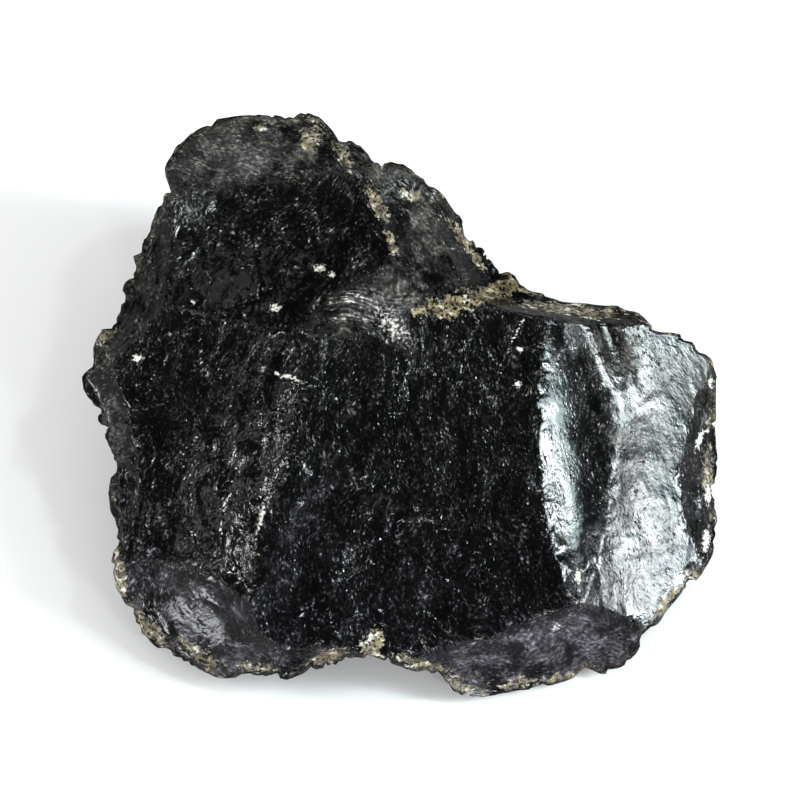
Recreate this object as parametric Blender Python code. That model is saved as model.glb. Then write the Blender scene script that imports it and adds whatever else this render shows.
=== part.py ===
"""A hand-sized lump of raw obsidian, one solid, lying on its flat underside.

The stone is described on its own "face plane": u to the right, v up and w out of
the broad broken face, with every size in millimetres. A rim block with the stone's
outline is knapped by scoops, one for each shell-shaped break, then roughened,
leaned back to lie on the ground and cut off flat there.
"""

from math import exp, inf, radians, sqrt, tan

import bmesh
import bpy
from mathutils import Matrix, Vector

MM = 0.001

# Driving dimensions, in millimetres and degrees
LEAN = 30.0  # how far the face plane tips up from the ground
GROUND_DROP = 19.0  # from the face plane's centre to the ground, along w
MIDDLE = Vector((0.0, -2.0))  # the point that the rim's walls close in on
RIM_INSET, RIM_STEP = 2.0, 2.2  # the rim lies this far below the broad face, found this far in
RIM_SPREAD = 7.0  # degrees of the outline over which the rim's level is evened out
FRONT_REACH, FRONT_DRAFT = 20.0, 0.22  # the wall above the rim: height, and inset per height
BACK_REACH, BACK_DRAFT = 46.0, 0.38  # the wall below the rim, the same
BODY_SPREAD = 16.0  # degrees of the outline that even one another out away from the rim
BODY_DEPTH = 10.0  # how far below the rim the wall is wholly evened out

VOXEL = 0.6
FACE_SHARE = 0.11  # of the remeshed faces, kept for the finished stone
ROUGH_SIZE, ROUGH_DEPTH = 3.2, 0.45
GROUND_BLOCK = 200.0

OBSIDIAN_BLACK = (0.012, 0.012, 0.014, 1.0)
OBSIDIAN_ROUGHNESS = 0.18

# The rim of the broad face, clockwise from the flat top (u, v)
OUTLINE = [
    (-23.0, 35.6), (-17.0, 35.9), (-10.8, 35.8), (-9.4, 34.9), (-8.0, 33.6), (-7.8, 32.8),
    (-5.6, 32.6), (-4.5, 31.5), (-2.6, 30.2), (0.4, 29.8), (2.5, 28.1), (5.2, 26.0),
    (7.1, 23.3), (8.7, 20.9), (10.9, 17.9), (11.9, 16.6), (14.4, 15.5), (16.0, 13.8),
    (18.2, 13.0), (20.9, 12.2), (23.6, 11.9), (27.4, 11.8), (29.6, 10.9), (31.5, 9.2),
    (32.6, 8.4), (35.0, 8.3), (37.2, 6.8), (39.1, 4.9), (39.8, 3.0), (39.6, -0.3),
    (39.6, -4.1), (39.9, -7.3), (39.8, -11.6), (40.0, -14.9), (39.4, -19.3), (37.8, -21.7),
    (35.6, -23.9), (33.4, -26.3), (31.5, -29.0), (29.6, -31.7), (28.0, -33.3), (25.3, -34.2),
    (23.1, -33.3), (21.5, -34.7), (18.2, -35.8), (14.4, -36.3), (10.6, -36.9), (8.5, -37.0),
    (6.8, -36.1), (5.2, -34.4), (3.0, -33.9), (-0.2, -33.1), (-3.5, -31.7), (-6.7, -32.0),
    (-9.4, -33.1), (-11.6, -33.6), (-13.8, -34.7), (-18.7, -34.7), (-22.5, -34.9),
    (-25.2, -33.6), (-28.4, -32.0), (-30.9, -30.4), (-32.2, -29.0), (-33.8, -26.0),
    (-35.5, -23.0), (-36.1, -20.4), (-35.5, -17.9), (-36.0, -14.4), (-36.4, -11.7),
    (-36.1, -9.5), (-35.5, -8.1), (-36.3, -5.7), (-37.1, -3.5), (-38.2, -0.8), (-39.8, 1.6),
    (-39.9, 3.2), (-38.4, 4.3), (-38.3, 6.8), (-37.3, 8.9), (-36.0, 8.9), (-35.2, 11.7),
    (-34.6, 14.9), (-33.8, 17.3), (-31.7, 20.9), (-30.9, 23.3), (-29.2, 26.5),
    (-29.6, 29.5), (-28.1, 32.0), (-25.7, 33.9),
]

# Each break is a scoop: the foot of its hollow (u, v, w), how many degrees it faces to
# the right and up, its radii (across, along, deep) and its twist on the face plane.
FRONT_BREAKS = {
    "central": ((4, -9, 10.6), 1, 3, (150, 250, 150), 0),
    "left": ((-27, -8, 7.8), -9.5, 4, (50, 100, 60), -22),
    "shoulder": ((-6, 11.4, 9.1), 2, 25, (28, 22, 30), -8),
    "upper": ((-14, 24, 1.4), -5, 14, (40, 28, 30), 15),
    "crown": ((-17, 30, -1.1), -4, 30, (60, 60, 60), 0),
    "lobe": ((-1.9, 20.6, 6.2), 18, 33, (60, 60, 60), 0),
    "lobe_rim": ((9, 23, -2.0), 44, 38, (30, 30, 30), 0),
    "notch": ((15.5, 14.6, -1.5), 26, 56, (16, 14, 14), 20),
    "band_a": ((19.4, -6, 9.4), 24, 4, (16, 36, 16), 5),
    "groove": ((27.6, 4.6, 6.3), 4, 6, (3.5, 14, 6), 20),
    "right_slope": ((31.5, -5, 5.8), 21, 6, (90, 120, 90), 0),
    "right_low": ((35.5, -18, 3.5), 21, 3, (40, 100, 40), 0),
    "far_right": ((36.8, -9, 1.4), 50, 0, (20, 28, 20), 0),
    "bottom_band": ((15, -34, 6.2), 3, -46, (44, 26, 34), 0),
    "bottom_right": ((25, -30, 6.0), 8, -42, (30, 24, 26), 15),
    "bottom_mid": ((-6, -34.6, 7.8), -2, -48, (40, 20, 30), 0),
    "flake_a": ((-28, -25.5, 5.7), -20, -18, (18, 14, 13), 30),
    "flake_b": ((-24, -33, 5.3), -10, -40, (16, 12, 12), 30),
    "left_rim": ((-36, -8, 3.6), -50, 0, (30, 30, 30), 0),
    "upper_rim": ((-31, 22, 0.6), -48, 12, (30, 30, 30), 20),
}
# The same on the hidden side, as seen from the front: the third number is the depth
# behind the face plane, and the scoops face away from it.
BACK_BREAKS = {
    "far_wall": ((-8, 25.5, 19), 2, 58, (40, 60, 50), 0),
    "far_low": ((-15, 22, 27), -16, 44, (26, 22, 22), 0),
    "far_middle": ((8, 21, 18), 26, 54, (22, 30, 24), 10),
    "far_left": ((-27, 14, 16), -48, 36, (34, 44, 40), 0),
    "far_right": ((21, 6, 19.5), 42, 46, (36, 40, 40), 0),
    "left_side": ((-32, -12, 6), -62, -6, (34, 34, 34), 0),
    "left_low": ((-27, 4, 20), -44, 14, (24, 26, 24), 0),
    "right_side": ((34, -12, 11), 58, -4, (36, 36, 36), 0),
    "right_low": ((27, -2, 19), 44, 20, (24, 26, 24), 0),
    "near_side": ((0, -33, 1), 0, -45, (50, 40, 40), 0),
}


def clear_scene():
    for old in list(bpy.data.objects):
        bpy.data.objects.remove(old)


def link_mesh(name, bm):
    bmesh.ops.recalc_face_normals(bm, faces=bm.faces)
    mesh = bpy.data.meshes.new(name)
    bm.to_mesh(mesh)
    bm.free()
    thing = bpy.data.objects.new(name, mesh)
    bpy.context.scene.collection.objects.link(thing)
    return thing


def make_helper(thing, parent):
    """A cutter: seen as a wire in the viewport, and never rendered."""
    thing.parent = parent
    thing.hide_render = True
    thing.display_type = "WIRE"
    return thing


def facing(right, up, twist):
    """The turn that points +Z the given degrees to the right and up, after a twist about +Z."""
    outward = Vector((tan(radians(right)), tan(radians(up)), 1.0)).normalized()
    along = (Vector((0, 1, 0)) - outward * outward.y).normalized()
    across = along.cross(outward)
    turn = Matrix((across, along, outward)).transposed()
    return turn @ Matrix.Rotation(radians(twist), 3, "Z")


def scoop_frame(dims):
    """The centre of a break's ellipsoid, and its turn with its radii in it."""
    foot, right, up, radii, twist = dims
    turn = facing(right, up, twist)
    return Vector(foot) + turn @ Vector((0, 0, radii[2])), turn @ Matrix.Diagonal(radii)


def face_level(place):
    """w of the broad face at (u, v): the lowest of the front breaks' near surfaces."""
    lowest = inf
    for dims in FRONT_BREAKS.values():
        centre, shape = scoop_frame(dims)
        shrink = shape.inverted()
        ray = shrink @ Vector((0, 0, 1))
        start = shrink @ (Vector((place.x, place.y, 0)) - centre)
        a, b, c = ray.dot(ray), start.dot(ray), start.dot(start) - 1
        if b * b > a * c:
            lowest = min(lowest, (-b - sqrt(b * b - a * c)) / a)
    return lowest


def evened(values, out, spread):
    """The mean of the outline points' values, each weighted by how near its direction is to out."""
    total = weights = 0.0
    for (u, v), value in zip(OUTLINE, values):
        weight = exp(-((out.angle(Vector((u, v)) - MIDDLE) / radians(spread)) ** 2))
        total += weight * value
        weights += weight
    return total / weights


def rim_ring(bm, rise, draft, evenness):
    """One ring of the rim block: the outline, evened out by the given share and drawn in by
    draft times the ring's height above or below the rim."""
    outs = [Vector(point) - MIDDLE for point in OUTLINE]
    lengths = [out.length for out in outs]
    levels = [face_level(MIDDLE + out * (1 - RIM_INSET / out.length)) for out in outs]
    ring = []
    for out in outs:
        body = (evened(lengths, out, BODY_SPREAD) - out.length) * evenness
        place = MIDDLE + out * (1 + (body - draft * abs(rise)) / out.length)
        level = evened(levels, out, RIM_SPREAD) - RIM_STEP + rise
        ring.append(bm.verts.new(Vector((place.x, place.y, level)) * MM))
    return ring


def make_rim_block():
    """The uncut block: the stone's outline at the rim, with walls that close in above and below it."""
    bm = bmesh.new()
    rings = [
        rim_ring(bm, FRONT_REACH, FRONT_DRAFT, 1.0),
        rim_ring(bm, 0.0, 0.0, 0.0),
        rim_ring(bm, -BODY_DEPTH, BACK_DRAFT, 1.0),
        rim_ring(bm, -BACK_REACH, BACK_DRAFT, 1.0),
    ]
    count = len(OUTLINE)
    for upper, lower in zip(rings, rings[1:]):
        for i in range(count):
            j = (i + 1) % count
            bm.faces.new((upper[i], upper[j], lower[j], lower[i]))
    bm.faces.new(rings[0])
    bm.faces.new(rings[-1])
    return link_mesh("raw_obsidian", bm)


def make_scoop(name, dims, parent, side):
    """An ellipsoid whose lowest point is the foot of a break. side is 1 on the face and -1 behind it."""
    centre, shape = scoop_frame(dims)
    place = Matrix.Translation(centre) @ shape.to_4x4()
    mirror = Matrix.Diagonal((1, 1, side, 1))
    bm = bmesh.new()
    bmesh.ops.create_icosphere(bm, subdivisions=5, radius=1.0)
    bmesh.ops.transform(bm, matrix=Matrix.Scale(MM, 4) @ mirror @ place, verts=bm.verts)
    return make_helper(link_mesh("scoop_" + name, bm), parent)


def make_ground_block():
    """What the stone lies on: a block whose top is the ground, z = 0."""
    bm = bmesh.new()
    bmesh.ops.create_cube(bm, size=GROUND_BLOCK * MM)
    bmesh.ops.translate(bm, vec=(0, 0, -GROUND_BLOCK * MM / 2), verts=bm.verts)
    return make_helper(link_mesh("ground_block", bm), None)


def cut(stone, cutter):
    boolean = stone.modifiers.new("cut_" + cutter.name, "BOOLEAN")
    boolean.operation = "DIFFERENCE"
    boolean.solver = "EXACT"
    boolean.object = cutter


def roughen(stone):
    """Even faces, then the fine unevenness of a fracture, then few enough faces to keep."""
    remesh = stone.modifiers.new("even_faces", "REMESH")
    remesh.mode = "VOXEL"
    remesh.voxel_size = VOXEL * MM
    grain = bpy.data.textures.new("fracture_grain", "CLOUDS")
    grain.noise_scale = ROUGH_SIZE * MM
    grain.noise_depth = 3
    displace = stone.modifiers.new("fracture_grain", "DISPLACE")
    displace.texture = grain
    displace.texture_coords = "LOCAL"
    displace.strength = ROUGH_DEPTH * MM
    displace.mid_level = 0.5
    thin = stone.modifiers.new("fewer_faces", "DECIMATE")
    thin.ratio = FACE_SHARE


def obsidian_material():
    material = bpy.data.materials.new("obsidian")
    material.use_nodes = True
    shader = material.node_tree.nodes["Principled BSDF"]
    shader.inputs["Base Color"].default_value = OBSIDIAN_BLACK
    shader.inputs["Roughness"].default_value = OBSIDIAN_ROUGHNESS
    shader.inputs["Metallic"].default_value = 0.0
    return material


def centre_on_ground(stone, rest):
    """Slides the rest frame so that the finished stone's box is centred over the origin."""
    bpy.context.view_layer.update()
    finished = stone.evaluated_get(bpy.context.evaluated_depsgraph_get())
    mesh = finished.to_mesh()
    points = [finished.matrix_world @ vertex.co for vertex in mesh.vertices]
    for axis in (0, 1):
        low = min(p[axis] for p in points)
        high = max(p[axis] for p in points)
        rest.location[axis] -= (low + high) / 2
    finished.to_mesh_clear()


def make_stone():
    rest = bpy.data.objects.new("rest_frame", None)
    bpy.context.scene.collection.objects.link(rest)
    rest.rotation_euler.x = radians(LEAN)
    rest.location.z = GROUND_DROP * MM * Matrix.Rotation(radians(LEAN), 3, "X")[2][2]

    stone = make_rim_block()
    stone.parent = rest
    stone.data.materials.append(obsidian_material())
    for name, dims in FRONT_BREAKS.items():
        cut(stone, make_scoop(name, dims, rest, 1))
    for name, dims in BACK_BREAKS.items():
        cut(stone, make_scoop("back_" + name, dims, rest, -1))
    roughen(stone)
    cut(stone, make_ground_block())
    centre_on_ground(stone, rest)
    return stone


clear_scene()
make_stone()
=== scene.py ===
from math import pi, radians, tan

import bpy
import numpy as np
from mathutils import Matrix, Vector


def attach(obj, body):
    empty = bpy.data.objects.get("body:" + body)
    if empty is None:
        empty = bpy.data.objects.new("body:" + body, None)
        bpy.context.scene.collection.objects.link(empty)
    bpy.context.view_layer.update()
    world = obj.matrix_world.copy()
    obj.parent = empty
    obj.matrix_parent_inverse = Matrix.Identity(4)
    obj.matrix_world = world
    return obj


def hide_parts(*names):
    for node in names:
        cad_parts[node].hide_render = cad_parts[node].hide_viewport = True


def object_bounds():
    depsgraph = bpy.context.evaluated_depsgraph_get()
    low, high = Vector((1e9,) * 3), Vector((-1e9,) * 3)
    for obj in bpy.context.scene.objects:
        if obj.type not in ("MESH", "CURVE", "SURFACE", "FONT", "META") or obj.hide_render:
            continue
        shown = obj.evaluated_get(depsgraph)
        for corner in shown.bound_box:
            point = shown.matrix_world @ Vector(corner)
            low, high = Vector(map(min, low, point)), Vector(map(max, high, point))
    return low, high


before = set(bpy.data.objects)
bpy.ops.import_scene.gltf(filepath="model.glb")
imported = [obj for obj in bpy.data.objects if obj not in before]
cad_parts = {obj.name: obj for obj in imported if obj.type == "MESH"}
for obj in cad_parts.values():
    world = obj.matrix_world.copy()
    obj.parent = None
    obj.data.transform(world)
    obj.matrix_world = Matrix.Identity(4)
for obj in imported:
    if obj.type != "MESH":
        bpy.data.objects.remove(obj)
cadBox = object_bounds()
print("frame loaded")

mm = 0.001  # shapes below are in millimetres

# The stone is worked out on its broad face: u runs right, v up, and w out of the face.
stone = {
    "lean": 30.0,  # degrees that the broad face tips up from the ground
    "groundDrop": 19.0,  # from the middle of the face plane down to the ground
    "middle": (0.0, -2.0),
    "rimInset": 2.0,  # the rim lies a step below the face, found this far in from it
    "rimStep": 2.2,
    "rimSpread": 7.0,  # degrees of the outline that even the rim's level out
    "rimWander": 0.5,
    "frontReach": 20.0,
    "frontDraft": 0.22,
    "backDraft": 0.38,
    "bodySpread": 16.0,  # degrees that even the outline out below the rim
    "bodyDepth": 10.0,  # how far below the rim it is wholly evened out
    "ridgeSoftness": 0.07,
    "gridSize": 128,
    "faceShare": 112.0,  # degrees of the grid's half turn that go to the broad face
    "crinkle": 0.9,  # how deep the outline's small nicks are
    "nicks": 0.26,  # how deep the ridges and the rim are chipped
    "ridgeWidth": 0.9,  # how far from a ridge its chips reach
    "fineDepth": 0.004,
    "reliefLimit": 0.16,  # the highest that any of the relief stands out
    "crustHeight": 0.05,
    "chipHaze": 0.25,  # haze in a chip, for each millimetre of its depth
}

# The outline seen square on, clockwise from the flat top (u, v)
outline = np.array([
    (-23.0, 35.6), (-17.0, 35.9), (-10.8, 35.8), (-9.4, 34.9), (-8.0, 33.6), (-7.8, 32.8),
    (-5.6, 32.6), (-4.5, 31.5), (-2.6, 30.2), (0.4, 29.8), (2.5, 28.1), (5.2, 26.0),
    (7.1, 23.3), (8.7, 20.9), (10.9, 17.9), (11.9, 16.6), (14.4, 15.5), (16.0, 13.8),
    (18.2, 13.0), (20.9, 12.2), (23.6, 11.9), (27.4, 11.8), (29.6, 10.9), (31.5, 9.2),
    (32.6, 8.4), (35.0, 8.3), (37.2, 6.8), (39.1, 4.9), (39.8, 3.0), (39.6, -0.3),
    (39.6, -4.1), (39.9, -7.3), (39.8, -11.6), (40.0, -14.9), (39.4, -19.3), (37.8, -21.7),
    (35.6, -23.9), (33.4, -26.3), (31.5, -29.0), (29.6, -31.7), (28.0, -33.3), (25.3, -34.2),
    (23.1, -33.3), (21.5, -34.7), (18.2, -35.8), (14.4, -36.3), (10.6, -36.9), (8.5, -37.0),
    (6.8, -36.1), (5.2, -34.4), (3.0, -33.9), (-0.2, -33.1), (-3.5, -31.7), (-6.7, -32.0),
    (-9.4, -33.1), (-11.6, -33.6), (-13.8, -34.7), (-18.7, -34.7), (-22.5, -34.9),
    (-25.2, -33.6), (-28.4, -32.0), (-30.9, -30.4), (-32.2, -29.0), (-33.8, -26.0),
    (-35.5, -23.0), (-36.1, -20.4), (-35.5, -17.9), (-36.0, -14.4), (-36.4, -11.7),
    (-36.1, -9.5), (-35.5, -8.1), (-36.3, -5.7), (-37.1, -3.5), (-38.2, -0.8), (-39.8, 1.6),
    (-39.9, 3.2), (-38.4, 4.3), (-38.3, 6.8), (-37.3, 8.9), (-36.0, 8.9), (-35.2, 11.7),
    (-34.6, 14.9), (-33.8, 17.3), (-31.7, 20.9), (-30.9, 23.3), (-29.2, 26.5),
    (-29.6, 29.5), (-28.1, 32.0), (-25.7, 33.9),
])

# Each break is a scoop out of the glass: its lowest point (u, v, w), degrees it faces
# right and up, its radii (across, along, deep) and its twist.
frontBreaks = {
    "central": ((4, -9, 10.6), 1, 3, (150, 250, 150), 0),
    "left": ((-27, -8, 7.8), -9.5, 4, (50, 100, 60), -22),
    "shoulder": ((-6, 11.4, 9.1), 2, 25, (28, 22, 30), -8),
    "upper": ((-14, 24, 1.4), -5, 14, (40, 28, 30), 15),
    "crown": ((-17, 30, -1.1), -4, 30, (60, 60, 60), 0),
    "lobe": ((-1.9, 20.6, 6.2), 18, 33, (60, 60, 60), 0),
    "lobeRim": ((9, 23, -2.0), 44, 38, (30, 30, 30), 0),
    "notch": ((15.5, 14.6, -1.5), 26, 56, (16, 14, 14), 20),
    "bandA": ((19.4, -6, 9.4), 24, 4, (16, 36, 16), 5),
    "groove": ((27.6, 4.6, 6.3), 4, 6, (3.5, 14, 6), 20),
    "rightSlope": ((31.5, -5, 5.8), 21, 6, (90, 120, 90), 0),
    "rightLow": ((35.5, -18, 3.5), 21, 3, (40, 100, 40), 0),
    "farRight": ((36.8, -9, 1.4), 50, 0, (20, 28, 20), 0),
    "bottomBand": ((15, -34, 6.2), 3, -46, (44, 26, 34), 0),
    "bottomRight": ((25, -30, 6.0), 8, -42, (30, 24, 26), 15),
    "bottomMiddle": ((-6, -34.6, 7.8), -2, -48, (40, 20, 30), 0),
    "flakeInner": ((-28, -25.5, 5.7), -20, -18, (18, 14, 13), 30),
    "flakeOuter": ((-24, -33, 5.3), -10, -40, (16, 12, 12), 30),
    "leftRim": ((-36, -8, 3.6), -50, 0, (30, 30, 30), 0),
    "upperRim": ((-31, 22, 0.6), -48, 12, (30, 30, 30), 20),
}

# The hidden side, as seen from the front: the third number is the depth behind the face
backBreaks = {
    "farWall": ((-8, 25.5, 19), 2, 58, (40, 60, 50), 0),
    "farLow": ((-15, 22, 27), -16, 44, (26, 22, 22), 0),
    "farMiddle": ((8, 21, 18), 26, 54, (22, 30, 24), 10),
    "farLeft": ((-27, 14, 16), -48, 36, (34, 44, 40), 0),
    "farRight": ((21, 6, 19.5), 42, 46, (36, 40, 40), 0),
    "leftSide": ((-32, -12, 6), -62, -6, (34, 34, 34), 0),
    "leftLow": ((-27, 4, 20), -44, 14, (24, 26, 24), 0),
    "rightSide": ((34, -12, 11), 58, -4, (36, 36, 36), 0),
    "rightLow": ((27, -2, 19), 44, 20, (24, 26, 24), 0),
    "nearSide": ((0, -33, 1), 0, -45, (50, 40, 40), 0),
}

# How each break looks: the point that its force came from (u, v), how deep its streaks
# away from that point are, the spacing and depth of the ripples round it, the depth of
# its soft swells, how strong its finest grain is, and how much pale haze and painted sheen lies on
# it.
breakLooks = {
    "central": (4, 69, 0.012, 3.1, 0.006, 0.012, 0.90, 0.10),
    "left": (4, 69, 0.022, 2.6, 0.010, 0.020, 0.95, 0.02),
    "shoulder": (-80, 14, 0.050, 1.6, 0.012, 0.030, 1.20, 0.75),
    "upper": (16, 60, 0.032, 3.0, 0.018, 0.045, 1.00, 0.05),
    "crown": (-60, 44, 0.010, 2.4, 0.015, 0.080, 0.80, 0.80),
    "lobe": (-30, 60, 0.020, 2.0, 0.012, 0.060, 0.90, 0.70),
    "lobeRim": (-30, 60, 0.050, 2.0, 0.015, 0.180, 1.00, 0.35),
    "notch": (-20, 10, 0.050, 1.8, 0.020, 0.180, 1.00, 0.35),
    "bandA": (4, 69, 0.008, 3.0, 0.008, 0.020, 0.60, 0.28),
    "groove": (4, 69, 0.010, 2.0, 0.008, 0.015, 0.60, 0.50),
    "rightSlope": (4, 69, 0.014, 2.2, 0.016, 0.030, 0.80, 0.70),
    "rightLow": (4, 69, 0.014, 2.0, 0.022, 0.035, 0.80, 0.80),
    "farRight": (26, 40, 0.050, 1.6, 0.040, 0.200, 1.00, 0.55),
    "bottomBand": (-60, -40, 0.012, 2.0, 0.012, 0.070, 0.90, 1.00),
    "bottomRight": (-60, -40, 0.012, 2.0, 0.012, 0.070, 0.90, 1.00),
    "bottomMiddle": (-60, -40, 0.030, 1.6, 0.020, 0.100, 1.00, 0.85),
    "flakeInner": (-36, -34, 0.020, 1.4, 0.055, 0.040, 1.00, 0.70),
    "flakeOuter": (-30, -24, 0.020, 1.8, 0.030, 0.060, 0.80, 0.85),
    "leftRim": (-30, 50, 0.040, 1.7, 0.030, 0.180, 1.00, 0.60),
    "upperRim": (-10, 70, 0.040, 1.7, 0.030, 0.180, 1.00, 0.60),
}
plainLook = (-60, 30, 0.035, 2.2, 0.025, 0.120, 0.70, 0.40)

# Patches of pale crust: place (u, v), half its length and width, direction in degrees,
# how much of it is covered, and how golden it is.
crustPatches = [
    (-11.2, 33.2, 2.2, 1.6, 60, 0.46, 0.30),
    (-17.8, 34.3, 1.0, 0.7, 0, 0.55, 0.10),
    (-7.2, 30.6, 2.2, 0.9, -50, 0.45, 0.40),
    (-2.7, 24.0, 2.6, 1.0, -62, 0.56, 0.45),
    (-1.1, 20.0, 2.2, 0.7, -75, 0.50, 0.55),
    (1.0, 26.0, 2.0, 1.1, -20, 0.30, 0.10),
    (6.6, 11.9, 5.0, 1.7, 12, 0.64, 0.80),
    (12.4, 13.9, 4.2, 1.3, 22, 0.70, 0.85),
    (15.2, 14.4, 3.0, 1.0, -30, 0.50, 0.60),
    (8.8, 19.0, 5.0, 0.8, -55, 0.30, 0.50),
    (-36.9, 8.2, 1.8, 0.8, 50, 0.35, 0.40),
    (-35.0, -22.0, 4.0, 1.1, 100, 0.35, 0.25),
    (-31.0, -28.6, 4.4, 1.3, -48, 0.36, 0.35),
    (-25.6, -31.4, 4.0, 1.2, -30, 0.42, 0.40),
    (-17.6, -33.2, 3.6, 0.8, 0, 0.36, 0.30),
    (-9.4, -32.0, 3.4, 0.8, 20, 0.50, 0.50),
    (-3.7, -30.0, 2.2, 1.5, 80, 0.62, 0.45),
    (2.4, -32.6, 4.0, 0.8, -14, 0.50, 0.45),
    (7.6, -35.4, 2.6, 1.0, -30, 0.45, 0.35),
    (16.0, -35.2, 6.0, 0.9, 6, 0.35, 0.15),
    (33.6, -24.6, 4.0, 0.9, 50, 0.36, 0.50),
    (36.9, -22.8, 1.4, 1.1, 40, 0.65, 0.75),
    (38.8, -9.0, 5.0, 0.9, 90, 0.35, 0.20),
    (32.0, 9.2, 3.0, 0.7, -20, 0.35, 0.70),
    (21.0, 11.3, 9.0, 0.9, -6, 0.42, 0.30),
]

# White bruised glass and painted white glints: place (u, v), half their length and width, direction
# in degrees and strength
bruisesAndGlints = [
    (-10.0, 16.5, 0.80, 0.45, -10, 1.0),
    (-8.5, 15.6, 0.55, 0.30, -30, 1.0),
    (-15.6, 11.5, 0.85, 0.50, -10, 1.0),
    (-32.7, 5.2, 0.75, 0.45, 10, 1.0),
    (-25.8, 12.2, 0.40, 0.30, 0, 0.8),
    (-13.8, 2.8, 2.20, 0.28, -20, 0.9),
    (-17.2, -14.4, 2.60, 0.26, 75, 1.0),
    (-1.2, 9.6, 3.40, 1.60, -50, 0.55),
    (14.8, 6.3, 0.45, 0.40, 0, 1.0),
    (14.6, 2.0, 0.45, 0.40, 60, 1.0),
    (14.4, 8.2, 4.20, 0.15, 64, 0.7),
    (22.0, -21.8, 1.10, 0.45, 85, 1.0),
    (34.9, -22.5, 1.30, 0.80, 45, 1.0),
    (37.6, -5.0, 1.40, 0.50, 70, 1.0),
    (38.6, -11.9, 1.20, 0.50, 90, 1.0),
    (38.4, -17.5, 1.70, 0.55, 80, 1.0),
    (39.0, 2.2, 0.90, 0.40, 90, 1.0),
    (19.5, -28.0, 0.60, 0.35, 40, 1.0),
    (-3.7, -29.4, 0.80, 0.45, 60, 1.0),
]

# Hackles, the fine lines beside a ridge, roughened and painted as bright sheen lines: place (u, v),
# half their length and width, direction and strength
hacklesAndSheen = [
    (-14.6, -3.0, 6.5, 2.0, 80, 1.0),
    (-17.4, -15.0, 7.0, 1.6, 72, 0.9),
    (-6.5, 11.6, 7.0, 2.6, 0, 1.0),
    (4.0, 5.0, 3.0, 2.5, 80, 0.7),
    (-13.0, 23.0, 9.0, 5.0, 55, 0.35),
]

# Patches of haze and painted sheen, the same but for how much of it they add
hazeAndSheenPatches = [
    (-1.2, 9.6, 4.2, 2.2, -50, 0.9),
    (-23.5, 25.0, 4.0, 1.2, 35, 0.5),
    (-19.5, 29.6, 3.4, 2.0, 30, 0.3),
    (-13.5, -17.0, 9.0, 3.0, 65, 0.35),
    (3.0, -23.0, 4.0, 3.0, 0, 0.25),
    (22.0, 10.0, 3.0, 1.6, -60, 0.35),
]

# Small chips scattered over the face
scatter = {
    "count": 900,
    "smallest": 0.35,
    "largest": 0.95,
    "stretch": (0.8, 1.9),  # length for each millimetre of width
    "depth": 0.13,
    "depthSpread": (0.5, 1.3),
    "rimPull": 0.42,  # 0.5 spreads them evenly, and less draws them to the rim
    "steepest": 40,  # degrees that one may face away from the viewer
    "smoothSide": (14, 37),  # none between these u, where the glass is smooth
    "seed": 5,
}

randomNumbers = np.random.default_rng(7)
lattice = randomNumbers.random((32, 32, 32)) * 2 - 1


# Values on a repeating lattice, blended smoothly between its eight nearest points
def latticeNoise(points):
    corner = np.floor(points).astype(int)
    part = points - corner
    part = part ** 3 * (part * (part * 6 - 15) + 10)
    total = 0
    for dx in (0, 1):
        for dy in (0, 1):
            for dz in (0, 1):
                wx = part[..., 0] if dx else 1 - part[..., 0]
                wy = part[..., 1] if dy else 1 - part[..., 1]
                wz = part[..., 2] if dz else 1 - part[..., 2]
                at = (corner + (dx, dy, dz)) % 32
                total = total + wx * wy * wz * lattice[at[..., 0], at[..., 1], at[..., 2]]
    return total


# Noise plus finer noise, each layer twice as fine and gain times as strong
def layeredNoise(points, layers=4, gain=0.5):
    total = 0
    for k in range(layers):
        total = total + gain ** k * latticeNoise(points * 2.03 ** k + 17.3 * k)
    return total


# Sharp crests: one minus twice the absolute noise, in layers as above
def crestNoise(points, layers=3, gain=0.5):
    total = 0
    for k in range(layers):
        total = total + gain ** k * (1 - 2 * np.abs(latticeNoise(points * 2.1 ** k + 9.1 * k)))
    return total


# 0 up to low, 1 from high on, and 3t^2 - 2t^3 between them
def smoothStep(low, high, value):
    t = np.clip((value - low) / (high - low), 0, 1)
    return t * t * (3 - 2 * t)


# A turn whose third axis is (tan right, tan up, 1) made one long, twisted about that axis,
# and the axis itself
def facing(right, up, twist):
    outward = Vector((tan(radians(right)), tan(radians(up)), 1)).normalized()
    along = (Vector((0, 1, 0)) - outward * outward.y).normalized()
    across = along.cross(outward)
    turn = Matrix((across, along, outward)).transposed()
    return turn @ Matrix.Rotation(radians(twist), 3, "Z"), outward


# Depth of a scoop at (u, v): the nearer root of |M(point - centre)| = 1 along w,
# where M shrinks the ellipsoid to a unit ball.
def scoopDepth(u, v, dims):
    foot, right, up, radii, twist = dims
    turn, outward = facing(right, up, twist)
    centre = Vector(foot) + outward * radii[2]
    shrink = np.array((turn @ Matrix.Diagonal(Vector(radii))).inverted())
    ray = shrink @ np.array((0, 0, 1.0))
    start = np.stack((u - centre.x, v - centre.y, np.full_like(u, -centre.z)), -1) @ shrink.T
    a = ray @ ray
    b = start @ ray
    c = (start * start).sum(-1) - 1
    inside = b * b - a * c
    return np.where(inside > 0, (-b - np.sqrt(np.maximum(inside, 0))) / a, 1000.0)


# The lowest of several heights, rounded where two are close: -k log sum exp(-h / k)
def softLowest(heights, k):
    low = heights.min(0)
    return low - k * np.log(np.exp(-(heights - low) / k).sum(0))


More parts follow.
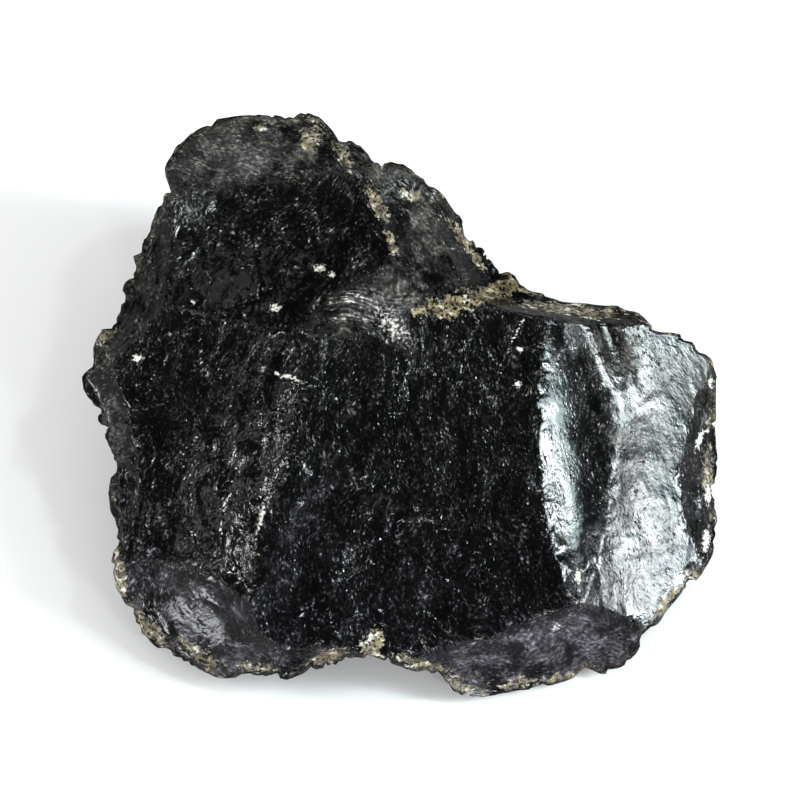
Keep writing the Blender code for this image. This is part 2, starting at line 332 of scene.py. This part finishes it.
# Knapping: which of the walls and scoops is lowest, their softened lowest height, and the
# distance to the ridge with the next one, which is the gap in height over the gap in slope.
def knap(walls, breaks, u, v):
    step = 0.05
    heights, slopeU, slopeV = [], [], []
    for wall in walls:
        heights.append(wall)
        slopeU.append(np.full_like(wall, 2.0))
        slopeV.append(np.full_like(wall, 2.0))
    for dims in breaks.values():
        height = scoopDepth(u, v, dims)
        heights.append(height)
        slopeU.append((scoopDepth(u + step, v, dims) - height) / step)
        slopeV.append((scoopDepth(u, v + step, dims) - height) / step)
    heights = np.stack(heights)
    pair = np.argsort(heights, 0)[:2]
    gap, gapU, gapV = [np.diff(np.take_along_axis(np.stack(values), pair, 0), axis=0)[0]
                       for values in (heights, slopeU, slopeV)]
    fold = np.hypot(gapU, gapV)
    nearRidge = np.exp(-(gap / np.maximum(fold, 0.05) / stone["ridgeWidth"]) ** 2)
    nearRidge = nearRidge * smoothStep(0.2, 0.6, fold)
    return pair[0], softLowest(heights, stone["ridgeSoftness"]), nearRidge


# Directions all round on a cube's six faces, spread evenly by tan, and the quads between them
def sphereGrid(n):
    t = np.tan(np.linspace(-1, 1, n + 1) * pi / 4)
    x, y = np.meshgrid(t, t, indexing="ij")
    one = np.ones_like(x)
    sides = ((x, y, one), (y, x, -one), (one, x, y), (-one, y, x), (y, one, x), (x, -one, y))
    points = np.stack([np.stack(side, -1) for side in sides], 0).reshape(-1, 3)
    keys = np.round(points * 1e6).astype(np.int64)
    _, first, index = np.unique(keys, axis=0, return_index=True, return_inverse=True)
    index = index.reshape(6, n + 1, n + 1)
    near, far = index[:, :-1], index[:, 1:]
    quads = np.stack((near[:, :, :-1], far[:, :, :-1], far[:, :, 1:], near[:, :, 1:]), -1)
    points = points[first]
    return points / np.linalg.norm(points, axis=1)[:, None], quads.reshape(-1, 4)


# Outline points as (angle, distance) from the middle, in order of angle
middle = np.array(stone["middle"])
fromMiddle = outline - middle
outlineAngle = np.arctan2(fromMiddle[:, 1], fromMiddle[:, 0])
order = np.argsort(outlineAngle)
outlineAngle = outlineAngle[order]
fromMiddle = fromMiddle[order]
outlineReach = np.hypot(fromMiddle[:, 0], fromMiddle[:, 1])


# Distance to the outline at an angle: where the ray crosses the side between two points
def rimReach(angle):
    angles = np.concatenate((outlineAngle[-1:] - 2 * pi, outlineAngle, outlineAngle[:1] + 2 * pi))
    ends = np.concatenate((fromMiddle[-1:], fromMiddle, fromMiddle[:1]))
    i = np.clip(np.searchsorted(angles, angle) - 1, 0, len(angles) - 2)
    p = ends[i]
    side = ends[i + 1] - p
    ray = np.stack((np.cos(angle), np.sin(angle)), -1)
    crossed = p[..., 0] * side[..., 1] - p[..., 1] * side[..., 0]
    return crossed / (ray[..., 0] * side[..., 1] - ray[..., 1] * side[..., 0])


# The outline points' values at any angle: a mean weighted by exp(-(gap / spread)^2)
def evened(values, angle, spreadDegrees):
    gap = (angle[..., None] - outlineAngle + pi) % (2 * pi) - pi
    weight = np.exp(-(gap / radians(spreadDegrees)) ** 2)
    return (weight * values).sum(-1) / weight.sum(-1)


# The rim's level at an angle: the face's level near each outline point, evened out, less a step
def rimLevel(angle):
    place = middle + fromMiddle * (1 - stone["rimInset"] / outlineReach)[:, None]
    levels = [scoopDepth(place[:, 0], place[:, 1], dims) for dims in frontBreaks.values()]
    return evened(np.min(levels, 0), angle, stone["rimSpread"]) - stone["rimStep"]


# Unit normals of a quad mesh: each quad's diagonals crossed, summed at its corners
def pointNormals(points, quads):
    corner = points[quads]
    cross = np.cross(corner[:, 2] - corner[:, 0], corner[:, 3] - corner[:, 1])
    total = np.zeros_like(points)
    for k in range(4):
        for axis in range(3):
            total[:, axis] += np.bincount(quads[:, k], cross[:, axis], len(points))
    return total / np.maximum(np.linalg.norm(total, axis=1), 1e-12)[:, None]


# Values spread over their neighbours: each pass takes the mean of the quads' means
def evenOut(values, quads, passes):
    corners = quads.ravel()
    count = np.bincount(corners, minlength=len(values))
    for _ in range(passes):
        means = np.repeat(values[quads].mean(1), 4)
        values = np.bincount(corners, means, len(values)) / count
    return values


# Distance from the rim to a wall at a given inset. The wall leaves the outline for the evened
# body over the given depth, and closes in by its draft all the way.
def wallRise(inset, bulge, draft, depth):
    turning = draft * depth + bulge
    leaving = inset / (draft + bulge / depth)
    return np.where(inset < turning, leaving, depth + (inset - turning) / draft)


# The broken stone: the face is the lowest of the wall above the rim and the front scoops,
# and the hidden side is the same with the wall below the rim and the ground.
def stoneForm():
    ways, quads = sphereGrid(stone["gridSize"])
    angle = np.arctan2(ways[:, 1], ways[:, 0])
    polar = np.arccos(np.clip(ways[:, 2], -1, 1))
    rimPolar = radians(stone["faceShare"])
    front = polar <= rimPolar
    part = np.where(front, polar / rimPolar, (pi - polar) / (pi - rimPolar))
    share = np.sin(part * pi / 2) ** np.where(front, 1.0, 0.62)
    ring = np.stack((np.cos(angle), np.sin(angle), 0 * angle), -1)
    reach = rimReach(angle)
    nick = np.maximum(crestNoise(ring * 11, 3, 0.6) - 0.7, 0)
    reach = reach - stone["crinkle"] * nick + 0.12 * layeredNoise(ring * 21, 2)
    body = evened(outlineReach, angle, stone["bodySpread"])
    u = middle[0] + share * reach * np.cos(angle)
    v = middle[1] + share * reach * np.sin(angle)
    rim = rimLevel(angle) + stone["rimWander"] * layeredNoise(ring * 3 + 5, 3)
    inset = (1 - share) * reach
    wallUp = rim + wallRise(inset, reach - body, stone["frontDraft"], stone["frontReach"])
    wallDown = rim - wallRise(inset, reach - body, stone["backDraft"], stone["bodyDepth"])
    flat = np.stack((u, v, 0 * u), -1)
    # The ridges wander, but less on the right, where the long ones run straighter
    wander = 1 - 0.6 * smoothStep(10, 20, u) * front
    bentU = u + wander * layeredNoise(flat / 11 + 3, 3)
    bentU = bentU + 0.08 * wander * layeredNoise(flat / 2.2 + 3, 2)
    bentV = v + wander * layeredNoise(flat / 11 + 9, 3)
    bentV = bentV + 0.08 * wander * layeredNoise(flat / 2.2 + 9, 2)
    faceBreak, face, faceRidge = knap([wallUp], frontBreaks, bentU, bentV)
    ground = v * tan(radians(stone["lean"])) + stone["groundDrop"]
    _, behind, hiddenRidge = knap([-wallDown, ground], backBreaks, bentU, bentV)
    w = np.where(front, np.maximum(face, rim + 0.02), np.minimum(-behind, rim - 0.02))
    points = np.stack((u, v, w), -1)
    nearRidge = np.where(front, faceRidge, hiddenRidge)
    lift = np.where(front, 9.0, w + ground)
    return points, quads, front, part, np.where(front, faceBreak, 0), nearRidge, lift


# Small scoops at given places: the surface drops, by at most 1.2 times the depth, to an uneven
# tilted bowl: the level there - depth + its slopes + half the depth times (distance / radius)^2
def cutChips(points, front, marks):
    drop = np.zeros(len(points))
    faceIndex = np.nonzero(front)[0]
    place = points[faceIndex]
    for u, v, right, up, across, along, depth in marks:
        du = (place[:, 0] - u) / across
        dv = (place[:, 1] - v) / along
        near = np.nonzero(du * du + dv * dv < 9)[0]
        if len(near) == 0:
            continue
        spot = place[near]
        du = du[near]
        dv = dv[near]
        level = spot[np.argmin(du * du + dv * dv), 2]
        slopeU = -tan(radians(right))
        slopeV = -tan(radians(up))
        bowl = level - depth + slopeU * (spot[:, 0] - u) + slopeV * (spot[:, 1] - v)
        bowl = bowl + 0.5 * depth * (du * du + dv * dv) + 0.10 * layeredNoise(spot * 0.9, 2)
        index = faceIndex[near]
        drop[index] = np.maximum(drop[index], np.minimum(spot[:, 2] - bowl, 1.2 * depth))
    drop = np.maximum(drop, 0)
    points = points.copy()
    points[:, 2] -= drop
    return points, drop


# Scattered small chips at random places, more of them near the rim, facing all ways
def scatterMarks():
    chance = np.random.default_rng(scatter["seed"])
    marks = []
    for _ in range(scatter["count"]):
        angle = chance.uniform(-pi, pi)
        out = chance.uniform(0, 1) ** scatter["rimPull"]
        reach = float(rimReach(np.array([angle]))[0]) * 0.985
        size = chance.uniform(0, 1) ** 2
        size = scatter["smallest"] + (scatter["largest"] - scatter["smallest"]) * size
        stretch = chance.uniform(*scatter["stretch"])
        right, up = chance.normal(6, 20), chance.normal(0, 18)
        u = middle[0] + out * reach * np.cos(angle)
        v = middle[1] + out * reach * np.sin(angle)
        depth = scatter["depth"] * chance.uniform(*scatter["depthSpread"])
        if scatter["smoothSide"][0] < u < scatter["smoothSide"][1]:
            continue
        right, up = np.clip((right, up), -scatter["steepest"], scatter["steepest"])
        marks.append((u, v, right, up, size, size * stretch, depth))
    return marks


points, quads, front, part, which, nearRidge, lift = stoneForm()
print("stone formed:", len(points), "points")
points, chipped = cutChips(points, front, scatterMarks())
print("chips cut")

# What the point's own break says about its look
lookTable = np.array([plainLook] + [breakLooks[name] for name in frontBreaks], float)
look = lookTable[which]
sourceU, sourceV, streakDepth, rippleGap, rippleDepth, swellDepth, grain, hazeAndSheen = look.T

# Flow coordinates in millimetres: away from the break's source, round it, and into the stone
u, v, w = points.T
away = np.hypot(u - sourceU, v - sourceV)
sources = lookTable[:, :2]
places = np.array([(0, 0)] + [dims[0][:2] for dims in frontBreaks.values()])
distances = np.hypot(*(places - sources).T)
typical = np.array([distances[(sources == source).all(1)].mean() for source in sources])[which]
around = np.arctan2(u - sourceU, sourceV - v) * typical
around = around + 1.1 * layeredNoise(points / 9 + 31, 2)
flow = np.stack((away, around, np.where(front, 0.35 * w, w)), -1)

# Relief along the normal: long streaks, ripples round the source, swells and fine grain
streaks = layeredNoise(flow * (0.11, 0.85, 0.6) + 3, 3, 0.6)
streaks = streaks + 0.7 * crestNoise(flow * (0.07, 0.42, 0.3) + 8, 2)
strike = away + 1.4 * layeredNoise(points / 7 + 50, 3)
patchy = smoothStep(-0.25, 0.45, layeredNoise(points / 8 + 70, 2))
ripples = np.sin(2 * pi * strike / rippleGap) * patchy
swells = layeredNoise(flow * (0.12, 0.30, 0.30) + 90, 3, 0.55)
fine = layeredNoise(points / 0.9 + 20, 2)
relief = streakDepth * streaks + rippleDepth * ripples + swellDepth * swells
relief = relief + stone["fineDepth"] * grain * fine

# Nicks along the ridges and the rim
nearRim = smoothStep(0.80, 0.98, part)
broken = smoothStep(0.05, 0.75, crestNoise(points / 2.2 + 40, 3, 0.6) - 0.5)
relief = relief - stone["nicks"] * broken * np.maximum(0.75 * nearRidge, nearRim * front)
onGround = np.where(front, 1.0, smoothStep(0.05, 1.2, lift))
normals = pointNormals(points, quads)
if (normals * points).sum() < 0:
    normals = -normals
    quads = quads[:, ::-1]
relief = np.minimum(relief, stone["reliefLimit"])
points = points + normals * (relief * onGround)[:, None]
print("relief carved")

# Crust, haze with painted sheen and thin brown edges, each from 0 to 1. Tone is 1 where the haze is
# warm, high up,
# and 0 where it is a little violet: low down, where it paints the floor's reflection, and in the
# hazy patches, where it paints a bluish sheen.
speck = layeredNoise(points / 0.55 + 5, 3, 0.6)
blotch = layeredNoise(points / 2.4 + 60, 3, 0.55)
crust = np.zeros(len(points))
gold = np.zeros(len(points))


# How far inside a patch each point is, 1 in the middle: exp(-distance^power) in an oval
def insidePatch(patchU, patchV, half, width, turn, power=3.0):
    c, s = np.cos(radians(turn)), np.sin(radians(turn))
    du = ((u - patchU) * c + (v - patchV) * s) / half
    dv = (-(u - patchU) * s + (v - patchV) * c) / width
    return np.exp(-(du * du + dv * dv) ** (power / 2)) * front


for *patch, cover, golden in crustPatches:
    inside = insidePatch(*patch)
    amount = smoothStep(0.0, 0.35, inside * (0.5 + cover) - 0.42 + 0.42 * speck + 0.22 * blotch)
    crust = np.maximum(crust, amount * smoothStep(0.02, 0.3, inside))
    gold = np.where(inside > 0.15, np.maximum(gold, golden * inside ** 0.3), gold)
rimCrust = nearRim * smoothStep(0.35, 0.8, speck + 0.6 * blotch)
ridgeCrust = nearRidge * smoothStep(0.50, 0.95, speck + 0.5 * blotch)
hiddenCrust = (~front) * smoothStep(0.45, 0.95, 0.7 * speck + blotch)
crust = np.clip(crust + 0.7 * rimCrust + 0.4 * ridgeCrust + 0.5 * hiddenCrust, 0, 1)
gold = np.clip(np.maximum(gold, 0.35 + 0.4 * blotch), 0, 1)
edge = np.clip(nearRim * (0.75 + 0.7 * blotch), 0, 1)
# Haze with painted sheen, evened out over the stone
hazeAndSheen = evenOut(hazeAndSheen, quads, 30)
tone = smoothStep(-30, 12, v)
# The hazy patches add painted sheen and turn its tint violet, as a painted bluish reflection
for *patch, strength in hazeAndSheenPatches:
    hazeAndSheen = hazeAndSheen + strength * insidePatch(*patch, 2.0)
    tone = tone - strength * insidePatch(*patch, 2.0)
hazeAndSheen = np.clip(hazeAndSheen * (1 + 0.7 * blotch) + stone["chipHaze"] * chipped, 0, 1)
grain = grain * (1 + 0.5 * blotch)
sheenLines = np.zeros(len(points))
for *patch, strength in hacklesAndSheen:
    sheenLines = np.maximum(sheenLines, strength * insidePatch(*patch))
grain = grain + 0.8 * sheenLines
# Painted white glints, on bruised glass
bruiseAndGlint = np.zeros(len(points))
for *patch, strength in bruisesAndGlints:
    bruiseAndGlint = np.maximum(bruiseAndGlint, strength * insidePatch(*patch, 2.0))
points = points + normals * (stone["crustHeight"] * crust * onGround)[:, None]

# Lean the face back, then fit the stone into the CAD solid's box and stand it on the ground
turn = np.array(Matrix.Rotation(radians(stone["lean"]), 3, "X"))
world = points @ turn.T
low, high = world.min(0), world.max(0)
cadLow, cadHigh = np.array(cadBox[0]) / mm, np.array(cadBox[1]) / mm
shrink = np.minimum((cadHigh - cadLow - 0.06) / (high - low), 1.0)
world[:, :2] = (world[:, :2] - (low + high)[:2] / 2) * shrink[:2] + (cadLow + cadHigh)[:2] / 2
groundLevel = -stone["groundDrop"] * turn[2, 2]
world[:, 2] = np.maximum((world[:, 2] - groundLevel) * min(shrink[2], 1.0), 0)
world[:, 2] *= min((cadHigh[2] - 0.03) / world[:, 2].max(), 1.0)

mesh = bpy.data.meshes.new("rawObsidian")
mesh.from_pydata((world * mm).tolist(), [], quads.tolist())
mesh.shade_smooth()
mesh.update()
painted = {"crust": crust, "gold": gold, "edge": edge, "hazeAndSheen": hazeAndSheen,
           "grain": grain, "bruiseAndGlint": bruiseAndGlint, "sheenLines": sheenLines, "tone": tone}
for name, values in painted.items():
    attribute = mesh.attributes.new(name, "FLOAT", "POINT")
    attribute.data.foreach_set("value", values.astype(np.float32))
attribute = mesh.attributes.new("flow", "FLOAT_VECTOR", "POINT")
attribute.data.foreach_set("vector", flow.astype(np.float32).ravel())
obsidian = bpy.data.objects.new("rawObsidian", mesh)
bpy.context.scene.collection.objects.link(obsidian)
print("stone meshed:", len(mesh.polygons) * 2, "triangles")

glass = {
    "black": (0.0008, 0.0008, 0.0009, 1),
    "violetHazeAndReflection": (0.86, 0.79, 0.94, 1),  # the haze is a little violet low down, where it paints the floor's reflection, and warm high up
    "warmHazeAndSheen": (0.92, 0.92, 0.82, 1),
    "hazeAndSheenLevel": (-7.6, -3.35),  # exp of this is the brightness of clear glass and of hazy glass with painted sheen
    "hazeAndSheenSpread": (28.0, 10.0),  # how unlike one another its specks are, in the same two
    "edgeBrown": (0.022, 0.017, 0.010, 1),
    "cream": (0.22, 0.205, 0.165, 1),
    "straw": (0.24, 0.185, 0.075, 1),
    "crustShade": (0.045, 0.038, 0.022, 1),
    # the white of painted glints, on the crust and the bruises
    "glintWhite": (0.52, 0.51, 0.46, 1),
    "roughness": (0.08, 0.18),
    "hazeRoughness": 0.16,
    "crustRoughness": 0.75,
    "streakHeight": 0.00003,  # metres
    "mottleHeight": 0.00005,
    "grainHeight": 0.000012,
    "glintHeight": 0.00032,
}

material = bpy.data.materials.new("obsidian")
material.use_nodes = True
nodes = material.node_tree.nodes
links = material.node_tree.links
shader = nodes["Principled BSDF"]
shader.inputs["IOR"].default_value = 1.5
shader.inputs["Metallic"].default_value = 0.0


# A node with the given settings. A name that isn't a setting is one of its inputs.
def addNode(kind, **values):
    node = nodes.new(kind)
    for name, value in values.items():
        if hasattr(node, name):
            setattr(node, name, value)
        else:
            node.inputs[name.replace("_", " ")].default_value = value
    return node


# One of the values painted on the stone's points
def painting(name, output="Fac"):
    return addNode("ShaderNodeAttribute", attribute_name=name).outputs[output]


# Result = first * (1 - factor) + second * factor
def mixColour(factor, first, second):
    node = addNode("ShaderNodeMix", data_type="RGBA")
    links.new(factor, node.inputs[0])
    for socket, value in ((node.inputs[6], first), (node.inputs[7], second)):
        if isinstance(value, tuple):
            socket.default_value = value
        else:
            links.new(value, socket)
    return node.outputs[2]


# One sum of two numbers or sockets, held between 0 and 1 if asked
def calculate(operation, first, second, clamp=False):
    node = addNode("ShaderNodeMath", operation=operation, use_clamp=clamp)
    for socket, value in ((node.inputs[0], first), (node.inputs[1], second)):
        if isinstance(value, (int, float)):
            socket.default_value = value
        else:
            links.new(value, socket)
    return node.outputs[0]


# A value moved from one range to another, held at the ends
def spread(value, fromLow, fromHigh, toLow=0.0, toHigh=1.0):
    node = addNode("ShaderNodeMapRange")
    links.new(value, node.inputs[0])
    for socket, number in zip(list(node.inputs)[1:5], (fromLow, fromHigh, toLow, toHigh)):
        socket.default_value = number
    return node.outputs[0]


# Noise on coordinates multiplied by the given stretch
def noiseOn(vector, stretch, detail=4.0, roughness=0.6):
    scale = addNode("ShaderNodeVectorMath", operation="MULTIPLY")
    links.new(vector, scale.inputs[0])
    scale.inputs[1].default_value = stretch
    node = addNode("ShaderNodeTexNoise", Scale=1.0, Detail=detail, Roughness=roughness)
    links.new(scale.outputs[0], node.inputs["Vector"])
    return node.outputs["Fac"]


flowPlace = painting("flow", "Vector")
crustAmount = painting("crust")
goldAmount = painting("gold")
edgeAmount = painting("edge")
hazeAndSheenAmount = painting("hazeAndSheen")
grainAmount = painting("grain")
bruiseAndGlintAmount = painting("bruiseAndGlint")
toneAmount = painting("tone")
sheenLinesAmount = painting("sheenLines")
place = addNode("ShaderNodeTexCoord").outputs["Object"]

streakNoise = noiseOn(flowPlace, (0.25, 1.6, 1.2), 2.0, 0.5)
lineNoise = noiseOn(flowPlace, (0.30, 3.4, 2.4), 2.0, 0.5)
broadNoise = noiseOn(flowPlace, (0.10, 0.5, 0.4), 4.0, 0.6)
speckNoise = noiseOn(flowPlace, (2.0, 3.0, 3.0), 3.0, 0.6)
clumpNoise = noiseOn(flowPlace, (0.40, 0.60, 0.60), 3.0, 0.6)
mottleNoise = noiseOn(flowPlace, (1.5, 2.2, 2.2), 1.5, 0.5)
dustNoise = noiseOn(place, (900.0, 900.0, 900.0), 5.0, 0.65)
grainNoise = noiseOn(place, (2600.0, 2600.0, 2600.0), 3.0, 0.6)

# Haze with painted sheen: most of it dark and few specks bright, the bright specks painted glints,
# exp(level + spread * (noise - 1/2))
specks = calculate("MULTIPLY", speckNoise, 0.75)
clumps = calculate("MULTIPLY", clumpNoise, 0.5)
uneven = calculate("SUBTRACT", calculate("ADD", specks, clumps), 0.625)
uneven = calculate("MULTIPLY", uneven, spread(hazeAndSheenAmount, 0, 1, *glass["hazeAndSheenSpread"]))
# Hackle lines painted bright, as sheen on their facets
sheenLined = calculate("MULTIPLY", sheenLinesAmount, spread(lineNoise, 0.35, 0.65, -1.3, 2.4))
hazeAndSheenShare = calculate("ADD", uneven, spread(hazeAndSheenAmount, 0, 1, *glass["hazeAndSheenLevel"]))
hazeAndSheenShare = calculate("EXPONENT", calculate("ADD", hazeAndSheenShare, sheenLined), 0.0, True)
hazeAndSheenColour = mixColour(toneAmount, glass["violetHazeAndReflection"], glass["warmHazeAndSheen"])
browned = calculate("MULTIPLY", edgeAmount, spread(dustNoise, 0.35, 0.7, 0.2, 1.0), True)
crusted = calculate("ADD", crustAmount, spread(grainNoise, 0.35, 0.65, -1.1, 0.30))
crusted = calculate("MULTIPLY", spread(crusted, 0.1, 0.6), spread(crustAmount, 0.02, 0.25), True)
bruiseAndGlintShare = calculate("ADD", bruiseAndGlintAmount, spread(grainNoise, 0.35, 0.65, -0.5, 0.2))
bruiseAndGlintShare = spread(bruiseAndGlintShare, 0.25, 0.6)
crustColour = mixColour(goldAmount, glass["cream"], glass["straw"])
crustColour = mixColour(spread(dustNoise, 0.38, 0.56), glass["crustShade"], crustColour)
# Painted glints: white specks on the crust
crustColour = mixColour(spread(dustNoise, 0.56, 0.64), crustColour, glass["glintWhite"])
colour = mixColour(browned, glass["black"], glass["edgeBrown"])
colour = mixColour(hazeAndSheenShare, colour, hazeAndSheenColour)
colour = mixColour(crusted, colour, crustColour)
# Painted white glints and bruises
colour = mixColour(bruiseAndGlintShare, colour, glass["glintWhite"])
links.new(colour, shader.inputs["Base Color"])

roughness = spread(broadNoise, 0.3, 0.7, *glass["roughness"])
hazeRough = calculate("MULTIPLY", hazeAndSheenAmount, glass["hazeRoughness"])
crustRough = calculate("MULTIPLY", crusted, glass["crustRoughness"])
roughness = calculate("ADD", calculate("ADD", roughness, hazeRough), crustRough, True)
links.new(roughness, shader.inputs["Roughness"])

# Glints: tiny cells in patches, each a cone as steep as its own random number to the fifth power
glintScale = addNode("ShaderNodeVectorMath", operation="MULTIPLY")
links.new(flowPlace, glintScale.inputs[0])
glintScale.inputs[1].default_value = (2.2, 4.0, 4.0)
cells = addNode("ShaderNodeTexVoronoi", Scale=1.0)
links.new(glintScale.outputs[0], cells.inputs["Vector"])
steep = calculate("POWER", cells.outputs["Color"], 5.0)
glints = calculate("MULTIPLY", cells.outputs["Distance"], steep)
glints = calculate("MULTIPLY", glints, spread(broadNoise, 0.42, 0.62))

previous = None
bumps = ((streakNoise, "streakHeight"), (mottleNoise, "mottleHeight"),
         (grainNoise, "grainHeight"), (glints, "glintHeight"))
for height, name in bumps:
    bump = addNode("ShaderNodeBump", Strength=1.0, Distance=glass[name])
    links.new(calculate("MULTIPLY", height, grainAmount), bump.inputs["Height"])
    if previous:
        links.new(previous, bump.inputs["Normal"])
    previous = bump.outputs[0]
links.new(previous, shader.inputs["Normal"])
mesh.materials.append(material)
print("obsidian finished")

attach(obsidian, "root")
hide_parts("raw_obsidian")

studio = {
    "floorColour": (0.72, 0.72, 0.72, 1),
    "mirroredFloor": (0.12, 0.12, 0.12, 1),
    "roomColour": (1, 1, 1, 1),
    "mirroredRoom": (0.02, 0.02, 0.02, 1),
    # Degrees right and up that glass faces where it mirrors the lamp, size, brightness, colour
    "lamps": {
        "key": (26.3, 4.5, (0.195, 0.28), 14, (0.78, 0.97, 1.0)),
        "keyEdge": (29.2, 4, (0.065, 0.25), 40, (1, 1, 1)),
        "top": (3, 31, (0.30, 0.26), 0.55, (1, 1, 1)),
        "frontLow": (-31, -21, (0.30, 0.26), 15, (0.95, 0.98, 1.0)),
        "leftStrip": (-20, 5, (0.03, 0.30), 3, (1, 1, 1)),
        "sparkleRight": (13, -9, (0.035, 0.035), 110, (0.9, 0.95, 1.0)),
        "sparkleTop": (12, 14, (0.035, 0.035), 110, (0.9, 0.95, 1.0)),
        "sparkleLeft": (-26, 10, (0.035, 0.035), 90, (1, 1, 1)),
        "sparkleLow": (-3, -16, (0.035, 0.035), 110, (1, 1, 1)),
    },
    "lampDistance": 0.6,  # metres, here and below
    "lampAim": 0.015,  # the height that the lamps point at
    "cameraDistance": 0.9,
    "frameWidth": 0.1,  # how much of the face's plane the picture is wide
    "sensorWidth": 36,  # millimetres
    "floorSize": 4,
}


# One colour for whatever a matt thing or the camera sees, and another for what the glass mirrors
def mirrorMix(tree, socket, plain, mirrored):
    lightPath = tree.nodes.new("ShaderNodeLightPath")
    mix = tree.nodes.new("ShaderNodeMix")
    mix.data_type = "RGBA"
    mix.inputs[6].default_value = plain
    mix.inputs[7].default_value = mirrored
    tree.links.new(lightPath.outputs["Is Glossy Ray"], mix.inputs[0])
    tree.links.new(mix.outputs[2], socket)


bpy.ops.mesh.primitive_plane_add(size=studio["floorSize"])
floor = bpy.context.object
floor.name = "floor"
floorMaterial = bpy.data.materials.new("paleFloor")
floorMaterial.use_nodes = True
floorShader = floorMaterial.node_tree.nodes["Principled BSDF"]
floorShader.inputs["Roughness"].default_value = 0.9
mirrorMix(floorMaterial.node_tree, floorShader.inputs["Base Color"],
          studio["floorColour"], studio["mirroredFloor"])
floor.data.materials.append(floorMaterial)

world = bpy.data.worlds.new("studio")
bpy.context.scene.world = world
world.use_nodes = True
background = world.node_tree.nodes["Background"]
mirrorMix(world.node_tree, background.inputs["Color"], studio["roomColour"], studio["mirroredRoom"])

# The camera looks square on to the broad face, 60 degrees above the horizon, at the place
# where the face's own origin came to lie when the stone was fitted and stood on the ground.
outward = Vector(turn @ np.array((0, 0, 1.0)))
faceOrigin = np.array(((cadLow + cadHigh)[0] / 2, (cadLow + cadHigh)[1] / 2, 0))
faceOrigin[:2] -= (low + high)[:2] / 2
faceOrigin[2] = -groundLevel


# A rectangular lamp that glass facing the given degrees right and up mirrors to the camera:
# it lies along 2 (n . c) n - c, with n the way the glass faces and c the way to the camera
def addLamp(name, right, up, size, brightness, colour):
    normal = Vector(turn @ np.array(facing(right, up, 0)[1]))
    way = 2 * normal.dot(outward) * normal - outward
    lamp = bpy.data.lights.new(name, "AREA")
    lamp.shape = "RECTANGLE"
    lamp.size, lamp.size_y = size
    lamp.energy = brightness * pi * size[0] * size[1]
    lamp.color = colour
    holder = bpy.data.objects.new(name, lamp)
    bpy.context.scene.collection.objects.link(holder)
    holder.location = Vector((0, 0, studio["lampAim"])) + way * studio["lampDistance"]
    holder.rotation_mode = "QUATERNION"
    holder.rotation_quaternion = way.to_track_quat("Z", "Y")


for name, lampValues in studio["lamps"].items():
    addLamp(name, *lampValues)

cameraData = bpy.data.cameras.new("camera")
cameraData.sensor_width = studio["sensorWidth"]
cameraData.lens = studio["sensorWidth"] / studio["frameWidth"] * studio["cameraDistance"]
cameraData.clip_start = 0.01
camera = bpy.data.objects.new("camera", cameraData)
bpy.context.scene.collection.objects.link(camera)
camera.location = Vector(faceOrigin) * mm + outward * studio["cameraDistance"]
camera.rotation_mode = "QUATERNION"
camera.rotation_quaternion = outward.to_track_quat("Z", "Y")
bpy.context.scene.camera = camera
bpy.context.scene.view_settings.view_transform = "Standard"
print("studio set up")
